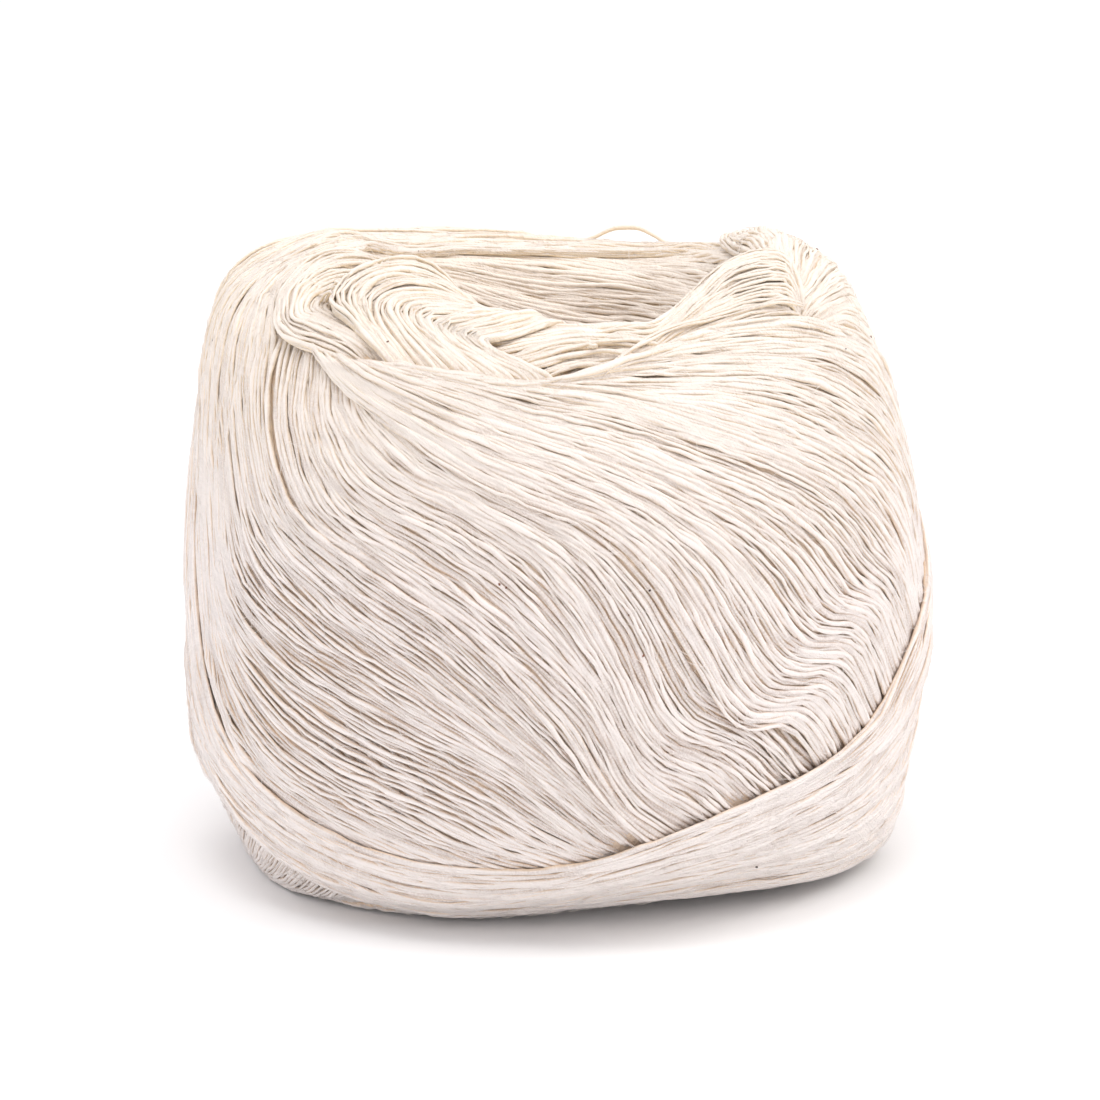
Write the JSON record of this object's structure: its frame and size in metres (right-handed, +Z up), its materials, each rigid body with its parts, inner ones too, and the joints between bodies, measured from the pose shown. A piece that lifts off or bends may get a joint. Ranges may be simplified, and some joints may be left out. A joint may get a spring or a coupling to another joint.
{
  "type": "ball of cotton thread",
  "caption": "Squat wound ball of natural undyed cotton thread with a hollow in its top, standing on a small flat underside.",
  "frame": {"origin": "centre of the flat underside, on the surface that the ball stands on", "axes": "+Z up through the hollow, -Y towards the front, +X to the right"},
  "size_m": [0.0798, 0.0801, 0.0658],
  "materials": {
    "cotton_thread": "matte, fine single-ply unbleached cotton with thick and thin places and loose fibres"
  },
  "bodies": {
    "root": {"thread_ball": "cotton_thread"}
  },
  "joints": []
}
